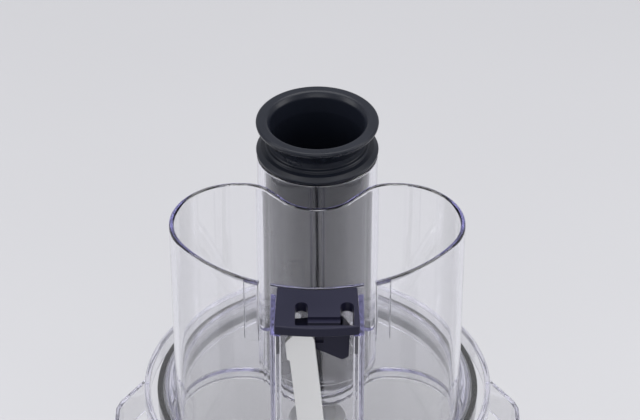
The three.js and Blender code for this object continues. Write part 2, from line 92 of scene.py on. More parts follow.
def spin(bm, profile, centre=(0.0, 0.0), steps=128, closed=False):
    """Turns a polyline of (radius, z) in millimetres about an upright axis at centre."""
    at = Vector((centre[0] * MM, centre[1] * MM + AXIS.y, 0.0))
    verts = [bm.verts.new((at.x + r * MM, at.y, z * MM)) for r, z in profile]
    ends = verts[1:] + verts[:1] if closed else verts[1:]
    edges = [bm.edges.new((a, b)) for a, b in zip(verts, ends)]
    bmesh.ops.spin(
        bm, geom=verts + edges, cent=at, axis=(0, 0, 1), angle=2 * math.pi,
        steps=steps, use_merge=True,
    )
    bmesh.ops.remove_doubles(bm, verts=bm.verts, dist=2e-6)


def round_corners(points, radius, segments=5):
    """Rounds each corner of a closed (a, b) outline; a point may carry its own radius."""
    rounded = []
    count = len(points)
    for i, point in enumerate(points):
        here = Vector(point[:2])
        r = point[2] if len(point) > 2 else radius
        to_prev = Vector(points[i - 1][:2]) - here
        to_next = Vector(points[(i + 1) % count][:2]) - here
        turn = to_prev.angle(to_next)
        if r <= 0 or turn > math.radians(178):
            rounded.append(tuple(here))
            continue
        reach = min(r / math.tan(turn / 2), 0.48 * to_prev.length, 0.48 * to_next.length)
        r = reach * math.tan(turn / 2)
        start, end = here + to_prev.normalized() * reach, here + to_next.normalized() * reach
        hub = here + (to_prev.normalized() + to_next.normalized()).normalized() * r / math.sin(turn / 2)
        a, b = start - hub, end - hub
        sweep = a.angle_signed(b)
        spare = lambda side: side.length - reach > 2.5
        if spare(to_prev):
            rounded.append(tuple(here + to_prev.normalized() * (reach + 0.4)))
        for k in range(segments + 1):
            rounded.append(tuple(hub + Matrix.Rotation(-sweep * k / segments, 2) @ a))
        if spare(to_next):
            rounded.append(tuple(here + to_next.normalized() * (reach + 0.4)))
    return rounded


def extrude_prism(bm, outline, low, high, axis=2):
    """A prism on an outline in millimetres about the bowl's axis, raised along x, y or z."""
    def place(a, b):
        point = [a, b]
        point.insert(axis, low)
        return Vector(point) * MM + AXIS

    face = bm.faces.new([bm.verts.new(place(*p)) for p in outline])
    top = bmesh.ops.extrude_face_region(bm, geom=[face], use_keep_orig=True)["geom"]
    lifted = [v for v in top if isinstance(v, bmesh.types.BMVert)]
    shift = Vector((0.0, 0.0, 0.0))
    shift[axis] = (high - low) * MM
    bmesh.ops.translate(bm, verts=lifted, vec=shift)


def round_rectangle(x0, x1, y0, y1, radius, segments=8):
    return round_corners([(x0, y0), (x1, y0), (x1, y1), (x0, y1)], radius, segments)


def peg(bm, centre, radius, length, axis=2, segments=40):
    """A short round bar, its middle at centre, in millimetres about the bowl's axis."""
    turn = {0: Matrix.Rotation(math.pi / 2, 4, "Y"), 1: Matrix.Rotation(math.pi / 2, 4, "X"),
            2: Matrix.Identity(4)}[axis]
    bmesh.ops.create_cone(
        bm, cap_ends=True, segments=segments, radius1=radius * MM, radius2=radius * MM,
        depth=length * MM, matrix=Matrix.Translation(Vector(centre) * MM + AXIS) @ turn,
    )


def cut_away(target, make, *args, round_by=0.0, **names):
    """Cuts target by a tool that make draws."""
    tool = bmesh.new()
    make(tool, *args, **names)
    if round_by:
        soften(tool, round_by, 2, 50)
    combine(target, to_object("tool", tool), "DIFFERENCE")


def block(bm, x0, x1, y0, y1, z0, z1):
    """A plain box in millimetres about the bowl's axis; returns its vertices."""
    size = Vector((x1 - x0, y1 - y0, z1 - z0)) * MM
    mid = Vector(((x0 + x1) / 2, (y0 + y1) / 2, (z0 + z1) / 2)) * MM + AXIS
    place = Matrix.Translation(mid) @ Matrix.Diagonal((*size, 1))
    return bmesh.ops.create_cube(bm, size=1.0, matrix=place)["verts"]


def soften(bm, width, segments=3, angle=30.0):
    """Rounds every edge sharper than angle."""
    bm.normal_update()
    sharp = [
        e for e in bm.edges
        if e.is_manifold and e.calc_face_angle(0.0) > math.radians(angle)
    ]
    bmesh.ops.bevel(
        bm, geom=sharp, offset=width * MM, offset_type="OFFSET", affect="EDGES",
        segments=segments, profile=0.5, material=-1, clamp_overlap=True,
    )


def to_object(name, bm):
    bmesh.ops.remove_doubles(bm, verts=bm.verts, dist=1e-6)
    bmesh.ops.recalc_face_normals(bm, faces=bm.faces)
    mesh = bpy.data.meshes.new(name)
    bm.to_mesh(mesh)
    bm.free()
    obj = bpy.data.objects.new(name, mesh)
    bpy.context.scene.collection.objects.link(obj)
    return obj


def combine(target, tool, operation):
    """Cuts or joins target by tool, which is then thrown away."""
    step = target.modifiers.new("shape", "BOOLEAN")
    step.operation = operation
    step.solver = "EXACT"
    step.object = tool
    graph = bpy.context.evaluated_depsgraph_get()
    result = bpy.data.meshes.new_from_object(target.evaluated_get(graph))
    target.modifiers.remove(step)
    old = target.data
    target.data = result
    bpy.data.meshes.remove(old)
    bpy.data.objects.remove(tool)
    if not result.polygons:
        raise RuntimeError(f"{target.name}: {operation} left nothing")


def finish_piece(obj, material, body, nodes, sharp=32.0):
    mesh = obj.data
    mesh.materials.clear()
    mesh.materials.append(material)
    mesh.polygons.foreach_set("use_smooth", [True] * len(mesh.polygons))
    mesh.set_sharp_from_angle(angle=math.radians(sharp))
    even = obj.modifiers.new("even_shading", "WEIGHTED_NORMAL")
    even.keep_sharp = True
    if nodes:
        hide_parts(*nodes)
    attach(obj, body)


def piece(name, bm, material, body, nodes, sharp=32.0):
    obj = to_object(name, bm)
    finish_piece(obj, material, body, nodes, sharp)
    return obj


# ------------------------------------------------------------------ finishes
def new_material(name):
    """A new finish, or the one made before; the model's own materials have other names."""
    name = "finish_" + name
    mat = bpy.data.materials.get(name)
    if mat:
        return mat, None, None
    mat = bpy.data.materials.new(name)
    mat.use_nodes = True
    tree = mat.node_tree
    return mat, tree, tree.nodes["Principled BSDF"]


def link(tree, a, out, b, into):
    tree.links.new(a.outputs[out], b.inputs[into])


def noise(tree, scale, detail=3.0, stretch=(1, 1, 1)):
    """Noise on Object coordinates, scale in features per metre."""
    coord = tree.nodes.new("ShaderNodeTexCoord")
    mapping = tree.nodes.new("ShaderNodeMapping")
    mapping.inputs["Scale"].default_value = stretch
    tex = tree.nodes.new("ShaderNodeTexNoise")
    tex.inputs["Scale"].default_value = scale
    tex.inputs["Detail"].default_value = detail
    link(tree, coord, "Object", mapping, "Vector")
    link(tree, mapping, "Vector", tex, "Vector")
    return tex


def ramp(tree, source, low, high, start=0.3, end=0.7):
    """Maps a 0 to 1 value to the range low to high."""
    node = tree.nodes.new("ShaderNodeMapRange")
    node.inputs["From Min"].default_value = start
    node.inputs["From Max"].default_value = end
    node.inputs["To Min"].default_value = low
    node.inputs["To Max"].default_value = high
    link(tree, source, "Fac", node, "Value")
    return node


def tint(tree, source, dark, light):
    node = tree.nodes.new("ShaderNodeValToRGB")
    node.color_ramp.elements[0].position = 0.3
    node.color_ramp.elements[0].color = (*dark, 1)
    node.color_ramp.elements[1].position = 0.7
    node.color_ramp.elements[1].color = (*light, 1)
    link(tree, source, "Fac", node, "Fac")
    return node


def bump(tree, shader, source, strength, distance):
    node = tree.nodes.new("ShaderNodeBump")
    node.inputs["Strength"].default_value = strength
    node.inputs["Distance"].default_value = distance
    link(tree, source, "Fac", node, "Height")
    link(tree, node, "Normal", shader, "Normal")


def shade(colour, factor):
    return tuple(min(1.0, c * factor) for c in colour)


def clear_plastic(name, colour, density):
    """Polished clear copolyester, coloured through its depth, with slight moulding waves."""
    mat, tree, shader = new_material(name)
    if tree is None:
        return mat
    shader.inputs["Base Color"].default_value = (1, 1, 1, 1)
    shader.inputs["Transmission Weight"].default_value = 1.0
    shader.inputs["IOR"].default_value = 1.57
    link(tree, ramp(tree, noise(tree, 90, 4), 0.012, 0.04), "Result", shader, "Roughness")
    bump(tree, shader, noise(tree, 26, 2, (1, 1, 0.35)), 0.06, 0.0006)
    depth = tree.nodes.new("ShaderNodeVolumeAbsorption")
    depth.inputs["Color"].default_value = (*colour, 1)
    depth.inputs["Density"].default_value = density
    link(tree, depth, "Volume", tree.nodes["Material Output"], "Volume")
    return mat


def lid_plastic():
    look = bpy.context.scene.processor_finish
    return clear_plastic("clear_copolyester", look.clear_tint, look.clear_depth)


def bowl_plastic():
    look = bpy.context.scene.processor_finish
    return clear_plastic("smoke_copolyester", look.smoke_tint, look.smoke_depth)


def satin_plastic(name, colour, roughness=0.38, grain=900.0, depth=0.00003, gloss=0.5):
    """Moulded plastic with a fine spark-eroded grain and faint handling marks."""
    mat, tree, shader = new_material(name)
    if tree is None:
        return mat
    shader.inputs["Specular IOR Level"].default_value = gloss
    cloud = noise(tree, 35, 4)
    link(tree, tint(tree, cloud, shade(colour, 0.93), shade(colour, 1.07)), "Color", shader, "Base Color")
    link(tree, ramp(tree, cloud, roughness - 0.05, roughness + 0.06), "Result", shader, "Roughness")
    bump(tree, shader, noise(tree, grain, 2), 0.35, depth)
    return mat


def milky_plastic():
    """Off-white translucent strip: light goes a little way into it."""
    look = bpy.context.scene.processor_finish
    mat, tree, shader = new_material("milky_plastic")
    if tree is None:
        return mat
    cloud = noise(tree, 40, 3)
    link(tree, tint(tree, cloud, shade(look.ivory, 0.97), look.ivory), "Color", shader, "Base Color")
    link(tree, ramp(tree, cloud, 0.36, 0.48), "Result", shader, "Roughness")
    shader.inputs["Subsurface Weight"].default_value = 0.3
    shader.inputs["Subsurface Radius"].default_value = (0.004, 0.004, 0.004)
    shader.inputs["Subsurface Scale"].default_value = 0.5
    bump(tree, shader, noise(tree, 500, 2), 0.2, 0.00002)
    return mat


def ground_steel(name, stretch, roughness=0.24, colour=(0.66, 0.67, 0.69)):
    """Steel with fine grinding lines along one direction."""
    mat, tree, shader = new_material(name)
    if tree is None:
        return mat
    shader.inputs["Metallic"].default_value = 1.0
    lines = noise(tree, 700, 5, stretch)
    link(tree, tint(tree, lines, shade(colour, 0.9), shade(colour, 1.05)), "Color", shader, "Base Color")
    link(tree, ramp(tree, lines, roughness - 0.06, roughness + 0.1), "Result", shader, "Roughness")
    bump(tree, shader, lines, 0.25, 0.00002)
    return mat


def rubber(name, colour, roughness=0.8):
    mat, tree, shader = new_material(name)
    if tree is None:
        return mat
    cloud = noise(tree, 60, 5)
    link(tree, tint(tree, cloud, shade(colour, 0.8), shade(colour, 1.25)), "Color", shader, "Base Color")
    link(tree, ramp(tree, cloud, roughness - 0.1, roughness + 0.08), "Result", shader, "Roughness")
    bump(tree, shader, noise(tree, 1400, 3), 0.4, 0.00004)
    return mat


def layered_iron():
    """Stacked electrical steel: level lines half a millimetre apart, lightly varnished."""
    mat, tree, shader = new_material("stacked_iron")
    if tree is None:
        return mat
    shader.inputs["Metallic"].default_value = 0.8
    sheets = noise(tree, 1, 1, (2, 2, 1800))
    link(tree, tint(tree, sheets, (0.10, 0.105, 0.11), (0.30, 0.31, 0.33)), "Color", shader, "Base Color")
    link(tree, ramp(tree, sheets, 0.35, 0.6), "Result", shader, "Roughness")
    bump(tree, shader, sheets, 0.5, 0.0001)
    return mat


def copper_wire():
    mat, tree, shader = new_material("enamelled_copper")
    if tree is None:
        return mat
    shader.inputs["Metallic"].default_value = 0.9
    strands = noise(tree, 1, 2, (1300, 1300, 300))
    link(tree, tint(tree, strands, (0.32, 0.10, 0.04), (0.75, 0.33, 0.16)), "Color", shader, "Base Color")
    link(tree, ramp(tree, strands, 0.25, 0.45), "Result", shader, "Roughness")
    bump(tree, shader, strands, 0.6, 0.0002)
    return mat


# ------------------------------------------------------------------ settings
class FinishSettings(bpy.types.PropertyGroup):
    """Colours of the mouldings"""

    clear_tint: bpy.props.FloatVectorProperty(
        name="Clear tint", description="Colour that the clear plastic takes on through its depth",
        subtype="COLOR", size=3, min=0, max=1, default=(0.12, 0.08, 0.69))
    clear_depth: bpy.props.FloatProperty(
        name="Tint depth", description="How quickly the clear plastic takes on its colour, per metre",
        default=8.0, min=0)
    smoke_tint: bpy.props.FloatVectorProperty(
        name="Smoke tint", description="Colour that the bowl takes on through its depth",
        subtype="COLOR", size=3, min=0, max=1, default=(0.05, 0.05, 0.08))
    smoke_depth: bpy.props.FloatProperty(
        name="Smoke depth", description="How quickly the bowl darkens, per metre",
        default=165.0, min=0)
    charcoal: bpy.props.FloatVectorProperty(
        name="Charcoal", description="Colour of the pusher, the handle and the keys",
        subtype="COLOR", size=3, min=0, max=1, default=(0.009, 0.011, 0.018))
    navy: bpy.props.FloatVectorProperty(
        name="Navy black", description="Colour of the interlock's cap and rocker",
        subtype="COLOR", size=3, min=0, max=1, default=(0.012, 0.012, 0.028))
    ivory: bpy.props.FloatVectorProperty(
        name="Ivory", description="Colour of the strip, the rods and the blade hub",
        subtype="COLOR", size=3, min=0, max=1, default=(0.74, 0.74, 0.74))
    housing: bpy.props.FloatVectorProperty(
        name="Housing", description="Colour of the motor base",
        subtype="COLOR", size=3, min=0, max=1, default=(0.72, 0.72, 0.70))


class LidSettings(bpy.types.PropertyGroup):
    """Sizes of the lid moulding, in millimetres"""

    wall: bpy.props.FloatProperty(
        name="Wall", description="Wall thickness of the chute and the disc", default=2.4, min=1, max=4)
    chute_front: bpy.props.FloatProperty(
        name="Chute front", description="Radius of the chute's front wall about the bowl's axis",
        default=81.0, min=60, max=81)
    chute_half_width: bpy.props.FloatProperty(
        name="Chute half width", description="From the centre plane to the chute's side",
        default=72.8, min=50, max=72.8)
    chute_back: bpy.props.FloatProperty(
        name="Chute lobes", description="How far the lobes reach behind the bowl's axis",
        default=6.3, min=0, max=6.3)
    notch_floor: bpy.props.FloatProperty(
        name="Notch floor", description="Where the notch between the lobes is deepest",
        default=-15.3, min=-30, max=0)
    notch_radius: bpy.props.FloatProperty(
        name="Notch radius", description="Radius of the notch", default=21.0, min=10, max=21)
    shoulder_radius: bpy.props.FloatProperty(
        name="Shoulder radius", description="Radius of each shoulder beside the notch",
        default=18.0, min=8, max=18)
    tube_radius: bpy.props.FloatProperty(
        name="Tube radius", description="Outside of the small feed tube", default=30.6, min=20, max=30.6)


def kidney(inset):
    """The chute's outline, moved in by inset all round, as (x, y) in millimetres."""
    lid = bpy.context.scene.processor_lid
    a, b, c = lid.chute_half_width, lid.chute_back, lid.chute_front
    h = a + b - c
    lobe = h + math.sqrt(h * h - (a * a + b * b - c * c))
    lobe_x, lobe_y = a - lobe, b - lobe
    lean = math.atan2(lobe_y, lobe_x)
    shoulder_x, shoulder_y = lobe_x - 3.1, b - lid.shoulder_radius
    notch_y = lid.notch_floor + lid.notch_radius
    dx, dy = shoulder_x, shoulder_y - notch_y
    across = math.acos((lid.shoulder_radius + lid.notch_radius) / math.hypot(dx, dy))
    turn = math.atan2(dy, dx) - across
    shoulder, notch = lid.shoulder_radius - inset, lid.notch_radius + inset
    half = math.pi / 2
    arcs = [
        (0, 0, c - inset, math.pi - lean, 2 * math.pi + lean, 72),
        (lobe_x, lobe_y, lobe - inset, lean, half, 36),
        (shoulder_x, shoulder_y, shoulder, half, turn + math.pi, 14),
        (0, notch_y, notch, turn, -math.pi - turn, 28),
        (-shoulder_x, shoulder_y, shoulder, -turn, half, 14),
        (-lobe_x, lobe_y, lobe - inset, half, math.pi - lean, 36),
    ]
    points = []
    for x, y, r, start, end, steps in arcs:
        for k in range(steps):
            t = start + (end - start) * (k + 0.5) / steps
            points.append((x + r * math.cos(t), y + r * math.sin(t)))
    return points


def arc(radius, start, end, steps, centre=(0.0, 0.0)):
    """Points on an arc, angles in degrees."""
    return [
        (centre[0] + radius * math.cos(math.radians(start + (end - start) * k / steps)),
         centre[1] + radius * math.sin(math.radians(start + (end - start) * k / steps)))
        for k in range(steps + 1)
    ]


# ------------------------------------------------------------------ stage
class PROCESSOR_OT_stage(bpy.types.Operator):
    """Makes the camera, the pale floor and the soft studio light"""

    bl_idname = "processor.stage"
    bl_label = "Stage"

    def execute(self, context):
        scene = context.scene
        camera = bpy.data.cameras.new("camera")
        camera.sensor_width = 36.0
        camera.lens = 148.5
        camera.clip_end = 50.0
        eye = bpy.data.objects.new("camera", camera)
        target = AXIS + Vector((1.34, 0.0, RIM + 110.8)) * MM
        pitch = math.radians(36.2)
        eye.location = target + 1.324 * Vector((0.0, -math.cos(pitch), math.sin(pitch)))
        eye.rotation_euler = (math.pi / 2 - pitch, 0.0, 0.0)
        scene.collection.objects.link(eye)
        scene.camera = eye

        scene.view_settings.view_transform = "Standard"
        for kind in ("max", "transmission", "glossy", "transparent_max"):
            setattr(scene.cycles, kind + "_bounces", 32)
        world = bpy.data.worlds.new("studio")
        world.use_nodes = True
        world.node_tree.nodes["Background"].inputs["Color"].default_value = (0.97, 0.975, 1.0, 1)
        world.node_tree.nodes["Background"].inputs["Strength"].default_value = 0.55
        scene.world = world

        bm = bmesh.new()
        bmesh.ops.create_grid(bm, x_segments=1, y_segments=1, size=6.0)
        floor = bpy.data.objects.new("floor", bpy.data.meshes.new("floor"))
        bm.to_mesh(floor.data)
        bm.free()
        scene.collection.objects.link(floor)
        mat, tree, shader = new_material("paper_floor")
        cloud = noise(tree, 3, 2)
        link(tree, tint(tree, cloud, (0.50, 0.50, 0.52), (0.51, 0.51, 0.53)), "Color", shader, "Base Color")
        shader.inputs["Roughness"].default_value = 0.9
        floor.data.materials.append(mat)

        for name, place, size, power, colour in (
            ("overhead_softbox", (0.0, 0.35, 2.2), (2.2, 1.6), 34.0, (1.0, 1.0, 1.0)),
            ("front_softbox", (0.0, -2.2, 1.6), (1.8, 1.0), 14.0, (1.0, 1.0, 1.0)),
            ("left_softbox", (-1.7, -0.3, 1.1), (0.9, 1.6), 12.0, (1.0, 1.0, 1.0)),
            ("right_softbox", (1.7, -0.1, 1.1), (0.9, 1.6), 12.0, (1.0, 1.0, 1.0)),
        ):
            light = bpy.data.lights.new(name, "AREA")
            light.shape = "RECTANGLE"
            light.size, light.size_y = size
            light.energy = power
            light.color = colour
            lamp = bpy.data.objects.new(name, light)
            lamp.location = place
            aim = Vector((0.0, 0.0, 0.3)) - Vector(place)
            lamp.rotation_euler = aim.to_track_quat("-Z", "Y").to_euler()
            scene.collection.objects.link(lamp)
        return {"FINISHED"}


# ------------------------------------------------------------------ lid
class PROCESSOR_OT_lid(bpy.types.Operator):
    """Moulds the clear lid: disc, chute, small feed tube, interlock channel and lugs in one"""

    bl_idname = "processor.lid"
    bl_label = "Clear lid"

    def disc(self):
        z = lambda above: RIM + above
        bm = bmesh.new()
        spin(bm, round_corners([
            (0, z(4), 0), (40, z(4), 0), (76, z(4), 1.6), (80, z(0), 1.6), (90.9, z(0), 1.0),
            (90.9, z(-13), 0.6), (88.5, z(-13), 0.5), (88.5, z(-2.4), 1.0), (78.7, z(-2.4), 0.5),
            (78.7, z(-16), 0.6), (76.6, z(-16), 0.6), (76.6, z(-2.4), 0.8), (75, z(1.6), 1.2),
            (40, z(1.6), 0), (0, z(1.6), 0),
        ], 0.8, 4), steps=160)
        return to_object("clear_lid", bm)

    def chute(self, wall):
        top, bottom = RIM + 123.5, RIM - 2.1
        half = wall / 2
        deck, flare = RIM + 3.6, 2.0
        profile = [(-flare, bottom + 0.5), (-flare, deck)]
        profile += [
            (-flare + flare * math.sin(t * math.pi / 10), deck + flare * (1 - math.cos(t * math.pi / 10)))
            for t in range(1, 6)
        ]
        profile += [(0.0, deck + flare + 0.5), (0.0, top - half - 0.5), (0.0, top - half)]
        profile += [
            (half - half * math.cos(t * math.pi / 6), top - half + half * math.sin(t * math.pi / 6))
            for t in range(1, 6)
        ]
        profile += [
            (wall, top - half), (wall, top - half - 0.5), (wall, bottom + 1.1), (wall, bottom + 0.6),
            (wall - 0.6, bottom), (0.6 - flare, bottom),
        ]
        bm = bmesh.new()
        loft(bm, [add_ring(bm, kidney(inset), z) for inset, z in profile])
        return to_object("chute", bm)

    def slot_cutter(self, side):
        """The gap in the chute's front wall beside the interlock channel, round at its foot."""
        bm = bmesh.new()
        x = side * (22.3 + 2.75)
        verts = block(bm, x - 2.75, x + 2.75, -92, -62, RIM + 95, RIM + 130)
        foot = [
            e for e in bm.edges
            if all(v in verts and v.co.z < (RIM + 96) * MM for v in e.verts)
            and abs(e.verts[0].co.x - e.verts[1].co.x) < 1e-6
        ]
        bmesh.ops.bevel(
            bm, geom=foot, offset=2.5 * MM, affect="EDGES", segments=6, profile=0.5, material=-1,
        )
        return to_object("slot_cutter", bm)

    def tube(self):
        outer = bpy.context.scene.processor_lid.tube_radius
        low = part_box("small_feed_tube")[0][2] / MM
        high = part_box("small_feed_tube")[1][2] / MM
        bm = bmesh.new()
        spin(bm, round_corners([
            (27.6, low, 0.7), (outer, low, 0.7), (outer, high, 1.2), (27.6, high, 1.2),
        ], 1.0, 5), centre=(0, 24.5), steps=128, closed=True)
        return to_object("tube", bm)

    def tube_rib(self, side):
        """A short guide rib on the tube's inside near its rim."""
        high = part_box("small_feed_tube")[1][2] / MM
        bm = bmesh.new()
        block(bm, side * 27.15 - 0.6, side * 27.15 + 0.6, 23.7, 25.3, high - 26, high - 3)
        soften(bm, 0.25, 2)
        return to_object("rib", bm)

    def flank(self, side):
        """One side of the interlock channel, with the lip along its open front."""
        bm = bmesh.new()
        low, high = RIM - 13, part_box("interlock_housing")[1][2] / MM
        outline = round_corners([
            (22.2, -77.2, 0), (22.2, -109.2, 1.8), (17.0, -110.1, 0.9), (17.0, -107.6, 0.8),
            (19.7, -107.1, 1.0), (19.7, -77.8, 0),
        ], 0, 4)
        extrude_prism(bm, [(side * x, y) for x, y in outline], low, high)
        soften(bm, 0.5, 2, 60)
        flank = to_object("flank", bm)
        cut_away(flank, spin, [(0, low - 5), (90.3, low - 5), (90.3, RIM - 1), (0, RIM - 1)])
        return flank

    def sector(self, name, r0, r1, x0, x1, low, high, soft):
        """A curved plate against the chute's front wall, between x0 and x1."""
        angle = lambda x, r: math.degrees(math.asin(x / r)) - 90
        bm = bmesh.new()
        outline = arc(r1, angle(x0, r1), angle(x1, r1), 8) + arc(r0, angle(x1, r0), angle(x0, r0), 8)
        extrude_prism(bm, outline, low, high)
        soften(bm, soft, 3, 50)
        return to_object(name, bm)

    def lug(self, side):
        def outline(inset):
            pts = [
                (-82, 7 - inset, 0), (-90.6, 5.6 - inset, 2), (-103 + 0.9 * inset, -13 - 0.4 * inset, 4),
                (-105 + inset, -19, 4), (-105 + inset, -34, 4),
                (-101 + 0.9 * inset, -43 + 0.3 * inset, 3), (-82, -46 + inset, 0),
            ]
            return [(-side * x, y) for x, y in round_corners(pts, 0, 6)]
        top, bottom = RIM - 3, RIM - 24
        shell = bmesh.new()
        extrude_prism(shell, outline(0), bottom, top)
        soften(shell, 0.9, 3, 50)
        body = to_object("lug", shell)
        hollow = bmesh.new()
        extrude_prism(hollow, outline(2.0), bottom - 2, top - 2)
        soften(hollow, 0.6, 2, 50)
        combine(body, to_object("lug_hollow", hollow), "DIFFERENCE")
        ring = bmesh.new()
        spin(ring, [(0, bottom - 3), (89.6, bottom - 3), (89.6, RIM + 3), (0, RIM + 3)], steps=160)
        combine(body, to_object("lug_ring", ring), "DIFFERENCE")
        return body

    def execute(self, context):
        wall = context.scene.processor_lid.wall
        lid = self.disc()
        hole = bmesh.new()
        extrude_prism(hole, kidney(wall * 0.6), RIM - 2.0, RIM + 20)
        combine(lid, to_object("hole", hole), "DIFFERENCE")
        hole = bmesh.new()
        spin(hole, [(0, RIM - 20), (28.6, RIM - 20), (28.6, RIM + 20), (0, RIM + 20)], centre=(0, 24.5))
        combine(lid, to_object("hole", hole), "DIFFERENCE")
        chute = self.chute(wall)
        for side in (-1, 1):
            combine(chute, self.slot_cutter(side), "DIFFERENCE")
            combine(chute, self.flank(side), "UNION")
            low, high = RIM + 88, RIM + 123
            ends = sorted((side * 28.2, side * 35.4))
            combine(chute, self.sector("notch_pad", 79.8, 82.1, *ends, low, high, 0.6), "UNION")
        combine(chute, self.sector("back_wall", 79.9, 83.1, -20.4, 20.4, RIM - 1, RIM + 118, 0.3), "UNION")
        combine(lid, chute, "UNION")
        combine(lid, self.tube(), "UNION")
        for side in (-1, 1):
            combine(lid, self.tube_rib(side), "UNION")
            combine(lid, self.lug(side), "UNION")
        finish_piece(
            lid, lid_plastic(), "lid",
            ["cover", "feed_chute", "small_feed_tube", "interlock_housing"], 28,
        )
        return {"FINISHED"}


# ------------------------------------------------------------------ interlock
class PROCESSOR_OT_interlock(bpy.types.Operator):
    """Makes the keyed black cap, the rocker under it, its pin and the white strip"""

    bl_idname = "processor.interlock"
    bl_label = "Interlock"

    def keyhole(self, x0, x1, radius):
        bm = bmesh.new()
        outline = [(x0, -107.6)] + arc(radius, 180, 0, 8, ((x0 + x1) / 2, -91.4 - radius)) + [(x1, -107.6)]
        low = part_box("interlock_cap")[1][2] / MM
        extrude_prism(bm, outline, low - 8, low + 3)
        soften(bm, 0.5, 2, 60)
        return to_object("arm", bm)

    def cap(self):
        look = bpy.context.scene.processor_finish
        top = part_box("interlock_cap")[1][2] / MM
        lean = math.degrees(math.asin(20.1 / 111.4))
        back = math.degrees(math.asin(19.1 / 81.5))
        outline = arc(111.4, -90 - lean, -90 + lean, 20) + arc(81.5, -90 + back, -90 - back, 20)
        corners = {0: 2.6, 20: 2.6, 21: 1.2, 41: 1.2}
        outline = round_corners([(x, y, corners.get(i, 0)) for i, (x, y) in enumerate(outline)], 0, 6)
        bm = bmesh.new()
        extrude_prism(bm, outline, top - 5.2, top)
        soften(bm, 1.0, 4, 50)
        cap = to_object("interlock_cap_shell", bm)
        bm = bmesh.new()
        for side in (-1, 1):
            x = side * 18.1
            block(bm, x - 1.2, x + 1.2, -106, -92, top - 19, top - 4.2)
        soften(bm, 0.5, 3)
        combine(cap, to_object("legs", bm), "UNION")
        combine(cap, self.keyhole(-10.4, -4.4, 3.0), "DIFFERENCE")
        combine(cap, self.keyhole(10.9, 17.3, 3.2), "DIFFERENCE")
        bm = bmesh.new()
        block(bm, -10.4, 17.3, -108.9, -105.2, top - 8, top + 3)
        soften(bm, 1.2, 4)
        combine(cap, to_object("front_slot", bm), "DIFFERENCE")
        bm = bmesh.new()
        block(bm, -5, 11.6, -105.6, -102.6, top - 1.5, top + 3)
        soften(bm, 0.3, 2)
        combine(cap, to_object("tongue_step", bm), "DIFFERENCE")
        finish_piece(
            cap, satin_plastic("navy_black_plastic", look.navy, 0.34, gloss=0.2), "lid",
            ["interlock_cap"], 35,
        )

    def rocker(self):
        look = bpy.context.scene.processor_finish
        joint = next(j for j in frame["joints"] if j["name"] == "lever_rock")
        x, z = joint["pos_m"][0] / MM, joint["pos_m"][2] / MM
        side = round_corners([
            (x - 4, z - 4, 2), (x + 6, z - 5, 3), (x + 22, z - 13.5, 1), (x + 25, z - 11.5, 1),
            (x + 25.5, z + 1, 1.5), (x + 22, z + 6, 1.5), (x - 4, z + 4, 3),
        ], 1, 5)
        bm = bmesh.new()
        extrude_prism(bm, side, -99.6, -90, axis=1)
        soften(bm, 0.4, 2, 50)
        rocker = to_object("rocker", bm)
        for x0, x1, y0, y1, depth in ((16, 22, -97, -93, 20), (8, 13, -100.2, -98.4, 3)):
            bm = bmesh.new()
            block(bm, x + x0, x + x1, y0, y1, z - depth, z + (depth if depth > 5 else 2))
            soften(bm, 0.3, 2)
            combine(rocker, to_object("window", bm), "DIFFERENCE")
        cut_away(rocker, peg, (x, -95, z), 2.5, 12, axis=1)
        finish_piece(
            rocker, satin_plastic("navy_black_plastic", look.navy, 0.34, gloss=0.2), "lever",
            ["interlock_lever"], 35,
        )
        pin = bmesh.new()
        peg(pin, (x, -92, z), 2.2, 18, axis=1)
        soften(pin, 0.3, 2)
        steel = ground_steel("pin_steel", (1, 0.05, 1))
        piece("rocker_pin", pin, steel, "lid", ["lever_pin"])

    def strip(self):
        low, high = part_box("interlock_strip")
        z0, z1 = low[2] / MM, high[2] / MM
        foot, head, half = 4.2, -8.1, 6.35
        lean = lambda z: foot + (head - foot) * (z - z0) / (z1 - z0)
        hub = (lean(z1 - half), z1 - half)
        crown = [(p[0], p[1], 0) for p in arc(half, 0, 115, 16, hub)]
        step, wide = RIM + 100, half + 1.3
        left = [
            (hub[0] - wide, hub[1], 2), (lean(step) - wide, step, 0.4),
            (lean(step) - half, step - 0.8, 0.4),
        ]
        outline = round_corners([(foot - half, z0, 1), (foot + half, z0, 1), *crown, *left], 0, 4)
        bm = bmesh.new()
        extrude_prism(bm, outline, -105, -102, axis=1)
        soften(bm, 0.35, 3, 50)
        piece("white_strip", bm, milky_plastic(), "strip", ["interlock_strip"])

    def execute(self, context):
        self.cap()
        self.rocker()
        self.strip()
        return {"FINISHED"}


